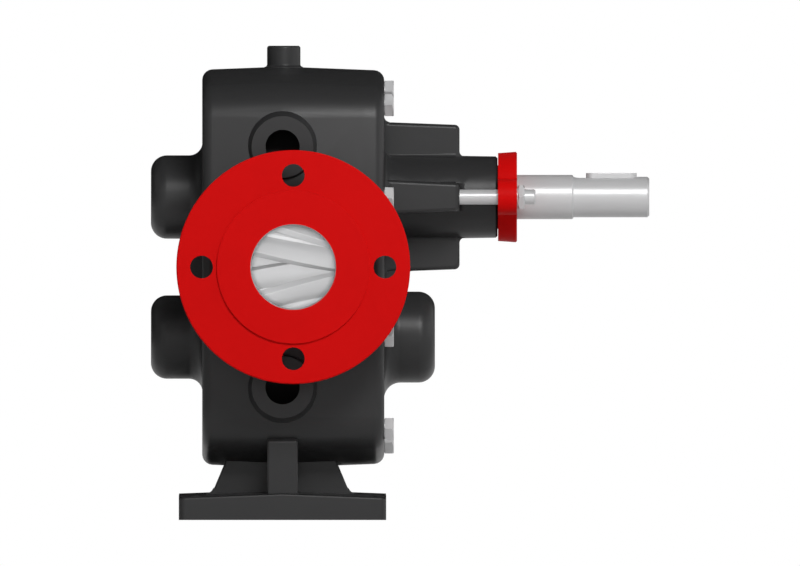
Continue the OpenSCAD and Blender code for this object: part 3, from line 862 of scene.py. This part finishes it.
@dataclass
class CastBody(SubAssembly):
    """The casing with its foot and the front cover with its bracket."""

    edge: float = 1.6 * MM
    # Radii of the bores that stay bare, and how far the jacket's lie above and below the ports
    port_bore: float = 33.0 * MM
    jacket_bore: float = 13.6 * MM
    jacket_offset: float = 95.0 * MM
    skin: float = 0.5 * MM
    # Bolt heads on the cover, and the studs in the bracket
    head: float = 7.5 * MM
    stud_radius: float = 6.0 * MM
    stud_grip: float = 20.0 * MM
    # The bracket's fins: their rounding, where it starts from the shaft's axis and from the
    # cover's face, how far it stays off the stud holes, and how far it may pass the fins' ends
    fin_edge: float = 3.2 * MM
    fin_heel: float = 36.5 * MM
    fin_start: float = 2.0 * MM
    fin_margin: float = 1.0 * MM
    fin_play: float = 0.3 * MM
    # The foot: its rounding, the plate's sides and top, and where the body and the web end
    foot_edge: float = 1.8 * MM
    foot_side: float = 12.0 * MM
    plate_top: float = 25.5 * MM
    foot_top: float = 66.0 * MM
    plate_rim: tuple[float, float] = (76.0 * MM, 78.0 * MM)
    web_end: float = 58.0 * MM
    # The lower fin's fillet: its radius, reach from the shaft's axis, height and width, and how
    # far it runs into the cover and into the fin
    toe_radius: float = 27.0 * MM
    toe_reach: float = 57.9 * MM
    toe_height: float = 16.6 * MM
    toe_width: float = 11.0 * MM
    toe_root: float = 3.0 * MM
    toe_lap: float = 1.2 * MM

    def build(self) -> None:
        """Refines both castings and leaves their bores bare."""
        casing = self.refine("casing", Body.STATOR, BLACK, self.edge, self.round_foot)
        cover = self.refine("front_cover", Body.STATOR, BLACK, self.edge, self.round_fins)
        low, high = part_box("inlet_flange")
        port = (low + high) / 2
        wells = [(port.x, port.z, self.port_bore)]
        wells += [(0.0, port.z + way * self.jacket_offset, self.jacket_bore) for way in (-1, 1)]
        gears = [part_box(f"{side.value}_gear") for side in Side]

        def machined(at: Vector) -> bool:
            """Whether a place lies on a bored surface of the casing."""
            in_well = (math.hypot(at.x - x, at.z - z) < r + self.skin for x, z, r in wells)
            return any(in_well) or any(self.around(at, *box) for box in gears)

        self.shop.bare(casing, BARE, machined)
        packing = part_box("packing_rings")
        self.shop.bare(cover, BARE, lambda at: self.around(at, *packing))

    def round_fins(self, cover: bpy.types.Object) -> None:
        """Rounds the bracket's fins, apart from the stud holes, and adds the lower fin's fillet.

        Args:
            cover: The cover's copy.
        """
        low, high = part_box("gland_studs")
        axis = (low.z + high.z) / 2
        offset = (high.y - low.y) / 2 - self.stud_radius
        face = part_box("cover_bolts")[1].x - self.head
        end = low.x + self.stud_grip

        def on_fin(at: Vector) -> bool:
            """Whether a place lies on the outer part of a fin, away from the stud holes."""
            across, up = abs(at.y), abs(at.z - axis)
            near_stud = math.hypot(across - offset, up) < self.stud_radius + self.fin_margin
            along = face + self.fin_start < at.x < end + self.fin_play
            return along and not near_stud and max(across, up) > self.fin_heel

        self.shop.round_off(cover, self.fin_edge, on_fin)
        self.toe(cover, face, axis)

    def toe(self, cover: bpy.types.Object, face: float, axis: float) -> None:
        """Runs the lower fin out to the front boss in one large fillet.

        Args:
            cover: The cover's copy.
            face: Place of the cover's outer face along X.
            axis: Height of the drive shaft.
        """
        half = self.toe_width / 2
        foot = axis - self.toe_reach
        low = Vector((face - self.toe_root, -half, foot - self.toe_height))
        high = Vector((face + self.toe_radius, half, foot + self.toe_lap))
        block = self.shop.block("toe", low, high)
        centre = Vector((face + self.toe_radius, 0.0, foot - self.toe_radius))
        ends = (-half - CLEAR, half + CLEAR)
        hollow = self.shop.rod(centre, Axis.Y, ends, self.toe_radius, sides=72)
        self.shop.join(block, hollow, Cut.TAKE_OUT)
        self.shop.join(cover, block, Cut.ADD_TO)

    def round_foot(self, casing: bpy.types.Object) -> None:
        """Rounds the foot plate's upper edges, and the edges of the rib and web above it.

        Args:
            casing: The casing's copy.
        """

        def on_foot(at: Vector) -> bool:
            """Whether a place lies on the foot, above its sides and below the body."""
            if at.z > self.plate_top:
                return at.z < self.foot_top and abs(at.x) < self.web_end
            at_rim = abs(at.x) > self.plate_rim[0] or abs(at.y) > self.plate_rim[1]
            return at_rim and at.z > self.foot_side

        self.shop.round_off(casing, self.foot_edge, on_foot)

    def around(self, at: Vector, low: Vector, high: Vector) -> bool:
        """Whether a place lies on the bore that holds a round solid.

        Args:
            at: The place.
            low: Lowest corner of the solid's box.
            high: Highest corner of the solid's box.

        Returns:
            Whether it does.
        """
        reach = (high.z - low.z) / 2 + self.skin
        off_axis = math.hypot(at.y, at.z - (low.z + high.z) / 2)
        return low.x - CLEAR < at.x < high.x + CLEAR and off_axis < reach


@dataclass
class Bearings(SubAssembly):
    """Bushes, seals, pins and packing that sit inside the castings."""

    bushes: tuple[str, ...] = (
        "rear_drive_bush", "front_drive_bush", "rear_driven_bush", "front_driven_bush",
        "throat_bush",
    )
    seals: tuple[str, ...] = ("cover_seal", "port_seals")

    def build(self) -> None:
        """Paints each hidden solid."""
        for bush in self.bushes:
            self.keep(bush, BRONZE)
        for seal in self.seals:
            self.keep(seal, RUBBER)
        self.keep("dowel_pins", BRIGHT)
        self.keep("packing_rings", PACKING)


@dataclass
class Rotors(SubAssembly):
    """Both shafts with their gears, keys and circlips."""

    shaft_edge: float = 0.25 * MM
    gear_edge: float = 0.35 * MM
    key_edge: float = 0.35 * MM
    # The drive end: its radius, length and chamfer
    drive_end: float = 16.0 * MM
    drive_end_length: float = 60.0 * MM
    chamfer: float = 1.5 * MM
    # The circlips' grooves: their depth and width
    groove: float = 1.25 * MM
    groove_width: float = 1.5 * MM
    # How far the coupling's keyway runs back past its key, and its play round the key
    key_setback: float = 10.0 * MM
    key_play: float = 0.05 * MM
    # The centre drill in each shaft's end: wide and narrow radius, slope of its cone, depth
    centre_drill: tuple[float, float] = (3.2 * MM, 1.6 * MM)
    drill_slope: float = 1.6
    drill_depth: float = 6.0 * MM

    def build(self) -> None:
        """Turns the shafts and mills their keyways, and refines the gears."""
        for side in Side:
            shaft = self.shaft(side)
            if side is Side.DRIVE:
                self.coupling_keyway(shaft)
            self.dress(shaft, side.body, STEEL, self.shaft_edge, f"{side.value}_shaft")
            self.refine(f"{side.value}_gear", side.body, STEEL, self.gear_edge)
            self.keep(f"{side.value}_gear_key", BRIGHT)
            self.keep(f"{side.value}_gear_clips", SPRING)
        key = self.shop.slot_block("coupling_feather_key", *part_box("coupling_key"))
        self.dress(key, Side.DRIVE.body, BRIGHT, self.key_edge, "coupling_key")

    def shaft(self, side: Side) -> bpy.types.Object:
        """Turns one shaft with its circlip grooves and gear keyway.

        Args:
            side: Which shaft.

        Returns:
            The shaft, without its coupling keyway.
        """
        low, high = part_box(f"{side.value}_shaft")
        first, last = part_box(f"{side.value}_gear_clips")
        radius = (high.z - low.z) / 2
        neck = radius - END_CHAMFER
        length = high.x - low.x
        profile: Profile = [(0.0, neck), (END_CHAMFER, radius)]
        for start in (first.x - low.x, last.x - low.x - self.groove_width):
            stop = start + self.groove_width
            cut = radius - self.groove
            profile += [(start, radius), (start, cut), (stop, cut), (stop, radius)]
        if side is Side.DRIVE:
            shoulder = length - self.drive_end_length
            profile += [
                (shoulder - END_CHAMFER, radius), (shoulder, neck), (shoulder, self.drive_end),
                (length - self.chamfer, self.drive_end), (length, self.drive_end - self.chamfer),
            ]
        else:
            profile += [(length - END_CHAMFER, radius), (length, neck)]
        wide, narrow = self.centre_drill
        cone = self.drill_slope * (wide - narrow)
        profile += [(length, wide), (length - cone, narrow), (length - self.drill_depth, narrow)]
        foot = Vector((low.x, 0.0, (low.z + high.z) / 2))
        shaft = self.shop.turned(f"{side.value}_shaft_turned", foot, Axis.X, profile)
        slot = self.shop.slot_block("slot", *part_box(f"{side.value}_gear_key"))
        self.shop.join(shaft, slot, Cut.TAKE_OUT)
        return shaft

    def coupling_keyway(self, shaft: bpy.types.Object) -> None:
        """Mills the keyway that runs from the shoulder to the end of the coupling key.

        Args:
            shaft: The turned drive shaft.
        """
        low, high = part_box("coupling_key")
        play = self.key_play
        start = Vector((low.x - self.key_setback, low.y - play, low.z))
        stop = Vector((high.x + play, high.y + play, high.z + CLEAR))
        self.shop.join(shaft, self.shop.slot_block("slot", start, stop), Cut.TAKE_OUT)


@dataclass
class Gland(SubAssembly):
    """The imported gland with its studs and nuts."""

    # Width across the nuts' flats, and the play of their bore round the stud
    across: float = 18.4 * MM
    play: float = 0.1 * MM
    gland_edge: float = 1.0 * MM
    edge: float = 0.2 * MM

    def build(self) -> None:
        """Refines the gland, turns its studs and makes its nuts."""
        self.refine("packing_gland", Body.GLAND, RED, self.gland_edge)
        for number, (low, high) in enumerate(self.shop.islands(self.nodes["gland_studs"]), 1):
            radius = (high.z - low.z) / 2
            foot = Vector((low.x, (low.y + high.y) / 2, (low.z + high.z) / 2))
            stud = self.shop.pin(f"gland_stud_{number}", foot, Axis.X, radius, high.x - low.x)
            self.dress(stud, Body.STATOR, BRIGHT, self.edge, "gland_studs")
            self.nut(number, foot, radius)

    def nut(self, number: int, stud_foot: Vector, stud_radius: float) -> None:
        """Makes the nut that presses the gland on one stud.

        Args:
            number: Number of the stud.
            stud_foot: Middle of the stud's end in the bracket.
            stud_radius: Radius of the stud.
        """
        low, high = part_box("gland_nuts")
        foot = Vector((low.x, stud_foot.y, stud_foot.z))
        height = high.x - low.x
        name = f"gland_nut_{number}"
        nut = self.shop.hexagon(name, foot, self.across, height, both_ends=True)
        ends = (-CLEAR, height + CLEAR)
        bore = self.shop.rod(foot, Axis.X, ends, stud_radius + self.play)
        self.shop.join(nut, bore, Cut.TAKE_OUT)
        self.dress(nut, Body.GLAND, BRIGHT, self.edge, "gland_nuts")


@dataclass
class Ports(SubAssembly):
    """Both screwed port flanges, each with a raised sealing face and a bare bore."""

    bore: float = 33.0 * MM
    # The raised sealing face: its radius and height
    sealing_face: float = 60.5 * MM
    face_height: float = 2.0 * MM
    # The socket that screws over the casing's neck: its radius and depth
    socket: float = 44.1 * MM
    socket_depth: float = 12.0 * MM
    # Radii of the bolt circle and of its holes, and their number
    bolt_circle: float = 72.5 * MM
    bolt_hole: float = 9.0 * MM
    bolt_count: int = 4
    chamfer: float = 0.8 * MM
    edge: float = 0.35 * MM
    # How much of the bore's chamfer stays bare, with a little to spare
    bare_share: float = 1.1
    sides: int = 144

    def build(self) -> None:
        """Makes both flanges."""
        for port in Port:
            self.flange(port)

    def flange(self, port: Port) -> None:
        """Turns one flange and drills its bolt holes.

        Args:
            port: The port that it belongs to.
        """
        way, side = port.value, port.name.lower()
        low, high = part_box(f"{side}_flange")
        middle = (low + high) / 2
        rim = (high.x - low.x) / 2
        thick = high.y - low.y
        step = thick - self.face_height
        foot = Vector((middle.x, high.y if way < 0 else low.y, middle.z))
        c = self.chamfer
        outline = [
            (self.socket_depth, self.bore), (thick - c, self.bore), (thick, self.bore + c),
            (thick, self.sealing_face), (step, self.sealing_face), (step, rim - c),
            (step - c, rim), (c, rim), (0.0, rim - c), (0.0, self.socket),
            (self.socket_depth, self.socket), (self.socket_depth, self.bore),
        ]
        profile = [(way * along, radius) for along, radius in outline]
        name = f"{side}_port_flange"
        flange = self.shop.turned(name, foot, Axis.Y, profile, self.sides)
        for turn in range(self.bolt_count):
            angle = turn * math.tau / self.bolt_count
            place = foot + Vector((math.cos(angle), 0.0, math.sin(angle))) * self.bolt_circle
            ends = (-way * CLEAR, way * (thick + CLEAR))
            drill = self.shop.rod(place, Axis.Y, ends, self.bolt_hole)
            self.shop.join(flange, drill, Cut.TAKE_OUT)
        self.dress(flange, Body.STATOR, RED, self.edge, f"{side}_flange")
        reach = self.bore + c * self.bare_share

        def in_bore(at: Vector) -> bool:
            """Whether a place lies in the bore or on its chamfer."""
            return math.hypot(at.x - middle.x, at.z - middle.z) < reach

        self.shop.bare(flange, BARE, in_bore)


@dataclass
class Fasteners(SubAssembly):
    """Cover bolts and the vent plug."""

    # The bolts' heads: width across flats, height, and degrees from which an edge is sharp
    across: float = 17.4 * MM
    head: float = 7.5 * MM
    head_corner: float = 25.0
    # The vent plug's hexagon socket: width across flats and depth
    socket: float = 6.0 * MM
    socket_depth: float = 6.0 * MM
    edge: float = 0.2 * MM

    def build(self) -> None:
        """Makes one cover bolt head and copies it to each place, and makes the vent plug."""
        feet = [
            Vector((high.x - self.head, (low.y + high.y) / 2, (low.z + high.z) / 2))
            for low, high in self.shop.islands(self.nodes["cover_bolts"])
        ]
        model = self.shop.hexagon("cover_bolt_model", feet[0], self.across, self.head)
        self.shop.soften(model, self.edge, self.head_corner)
        self.shop.paint(model, BRIGHT)
        for number, foot in enumerate(feet, 1):
            name = f"cover_bolt_{number}"
            bolt = self.shop.duplicate(model, name)
            bolt.location = foot - feet[0]
            self.shop.settle(bolt, name)
            self.stand_in(bolt, Body.STATOR, BRIGHT, "cover_bolts")
        bpy.data.objects.remove(model)
        self.vent_plug()

    def vent_plug(self) -> None:
        """Turns the plug of the vent boss and cuts its hexagon socket."""
        low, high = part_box("vent_plug")
        length = high.z - low.z
        foot = Vector(((low.x + high.x) / 2, (low.y + high.y) / 2, low.z))
        plug = self.shop.pin("vent_screw", foot, Axis.Z, (high.x - low.x) / 2, length)
        corner = self.socket / 2 / math.cos(math.pi / 6)
        ends = (length - self.socket_depth, length + CLEAR)
        key = self.shop.rod(foot, Axis.Z, ends, corner, sides=6)
        self.shop.join(plug, key, Cut.TAKE_OUT)
        self.dress(plug, Body.STATOR, BRIGHT, self.edge, "vent_plug")


@dataclass(frozen=True)
class SoftLamp:
    """A soft square lamp that faces the pump, which reflections show unless told otherwise."""

    name: str
    # Degrees to the right of the camera and above the horizon
    across: float
    up: float
    # Side in metres and power in watts
    size: float
    power: float
    mirrored: bool = True
    # Distance from the point that it faces, and that point
    reach: float = 2.2
    target: Triple = (60.0 * MM, 0.0, 190.0 * MM)

    def hang(self) -> None:
        """Adds the lamp to the scene."""
        a, e = math.radians(self.across), math.radians(self.up)
        way = Vector((math.sin(a) * math.cos(e), -math.cos(a) * math.cos(e), math.sin(e)))
        data = bpy.data.lights.new(self.name, "AREA")
        data.size = self.size
        data.energy = self.power
        lamp = bpy.data.objects.new(self.name, data)
        lamp.location = Vector(self.target) + way * self.reach
        lamp.rotation_euler = (-way).to_track_quat("-Z", "Y").to_euler()
        lamp.visible_glossy = self.mirrored
        bpy.context.scene.collection.objects.link(lamp)


@dataclass(frozen=True)
class Flag:
    """A dark card that only reflections see, to keep one side of them dark."""

    name: str
    place: Triple
    facing: Axis
    size: float = 6.0
    tone: float = 0.02

    def hang(self) -> None:
        """Adds the card to the scene."""
        bpy.ops.object.select_all(action="DESELECT")
        bpy.ops.mesh.primitive_plane_add(
            size=self.size, location=self.place, rotation=self.facing.turn
        )
        card = bpy.context.active_object
        card.name = self.name
        bench = ShaderBench(bpy.data.materials.new(self.name))
        mirrored = bench.node("ShaderNodeLightPath").outputs["Is Glossy Ray"]
        dark = bench.node("ShaderNodeBsdfDiffuse", None, {"Color": grey(self.tone)}).outputs[0]
        clear = bench.node("ShaderNodeBsdfTransparent").outputs[0]
        mix = bench.node("ShaderNodeMixShader", None, {0: mirrored, 1: clear, 2: dark})
        bench.node("ShaderNodeOutputMaterial", None, {"Surface": mix.outputs[0]})
        card.data.materials.append(bench.owner)


@dataclass
class Studio:
    """Floor, lamps, world and the camera at the photograph's view."""

    # Width that the photograph shows, the point at its middle and the camera's distance
    view_width: float = 632.5 * MM
    view_centre: tuple[float, float] = (92.9 * MM, 187.4 * MM)
    stand_off: float = 2.0
    # The floor: side, place under the foot, tone, and its own light where it is seen
    floor_size: float = 12.0
    floor_drop: float = 0.2 * MM
    floor_tone: float = 0.64
    floor_lift: float = 0.52
    sky: float = 0.18
    # The lamp down the inlet: distance, power, radius of its pool, soft rim and lamp radius
    port_reach: float = 2.0
    port_power: float = 210.0
    port_pool: float = 32.0 * MM
    port_blend: float = 0.1
    port_softness: float = 4.0 * MM
    lamps: tuple[SoftLamp, ...] = (
        SoftLamp("key", across=12.0, up=32.0, size=0.6, power=33.0),
        SoftLamp("front_fill", across=0.0, up=2.0, size=0.8, power=2.5),
        SoftLamp("right_fill", across=80.0, up=20.0, size=1.6, power=7.0),
        SoftLamp("left_fill", across=-80.0, up=20.0, size=1.6, power=3.0),
        SoftLamp("back", across=180.0, up=30.0, size=1.6, power=8.0, mirrored=False),
    )
    flags: tuple[Flag, ...] = (
        Flag("top_flag", (0.0, 1.2, 1.9), Axis.Z),
        Flag("left_flag", (-2.2, 1.2, 1.0), Axis.X),
        Flag("back_flag", (0.0, 3.4, 1.0), Axis.Y),
    )

    def build(self) -> None:
        """Sets up the whole studio."""
        self.floor()
        self.world()
        for lamp in self.lamps:
            lamp.hang()
        self.port_lamp()
        for flag in self.flags:
            flag.hang()
        self.camera()

    def camera(self) -> None:
        """Camera square to the inlet flange, with no perspective."""
        data = bpy.data.cameras.new("camera")
        data.type = "ORTHO"
        data.ortho_scale = self.view_width
        camera = bpy.data.objects.new("camera", data)
        camera.location = (self.view_centre[0], -self.stand_off, self.view_centre[1])
        camera.rotation_euler = Axis.Y.turn
        bpy.context.scene.collection.objects.link(camera)
        bpy.context.scene.camera = camera

    def port_lamp(self) -> None:
        """Narrow lamp straight down the inlet, so that the gears inside it can be seen."""
        low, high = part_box("inlet_flange")
        middle = (low + high) / 2
        data = bpy.data.lights.new("port_lamp", "SPOT")
        data.energy = self.port_power
        data.spot_size = 2 * math.atan(self.port_pool / self.port_reach)
        data.spot_blend = self.port_blend
        data.shadow_soft_size = self.port_softness
        lamp = bpy.data.objects.new("port_lamp", data)
        lamp.location = (middle.x, low.y - self.port_reach, middle.z)
        lamp.rotation_euler = Axis.Y.turn
        bpy.context.scene.collection.objects.link(lamp)

    def world(self) -> None:
        """Grey light all round that the camera sees as white."""
        world = bpy.data.worlds.new("studio")
        bpy.context.scene.world = world
        bench = ShaderBench(world)
        light = bench.node(
            "ShaderNodeBackground", None, {"Color": grey(1.0), "Strength": self.sky}
        ).outputs[0]
        white = bench.node("ShaderNodeBackground", None, {"Color": grey(1.0)}).outputs[0]
        mix = bench.node("ShaderNodeMixShader", None, {0: bench.seen(), 1: light, 2: white})
        bench.node("ShaderNodeOutputWorld", None, {"Surface": mix.outputs[0]})

    def floor(self) -> None:
        """Pale floor under the foot, which keeps the pump's shadow."""
        bpy.ops.object.select_all(action="DESELECT")
        bpy.ops.mesh.primitive_plane_add(
            size=self.floor_size, location=(0.0, 0.0, -self.floor_drop)
        )
        plane = bpy.context.active_object
        plane.name = "floor"
        bench = ShaderBench(bpy.data.materials.new("pale_floor"))
        paper = bench.node(
            "ShaderNodeBsdfDiffuse", None, {"Color": grey(self.floor_tone)}
        ).outputs[0]
        lift = bench.seen() * self.floor_lift
        glow = bench.node("ShaderNodeEmission", None, {"Strength": lift}).outputs[0]
        both = bench.node("ShaderNodeAddShader", None, {0: paper, 1: glow})
        bench.node("ShaderNodeOutputMaterial", None, {"Surface": both.outputs[0]})
        plane.data.materials.append(bench.owner)


def main() -> None:
    """Builds every sub-assembly and the studio."""
    logging.basicConfig(level=logging.INFO, format="%(message)s")
    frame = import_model()
    bpy.context.scene.view_settings.view_transform = "Standard"
    shop = Workshop()
    nodes = frame["nodes"]
    parts: tuple[type[SubAssembly], ...] = (
        CastBody, Bearings, Rotors, Gland, Ports, Fasteners,
    )
    for part in parts:
        part(shop, nodes).build()
        LOG.info("%s done", part.__name__)
    Studio().build()


if __name__ == "__main__":
    main()
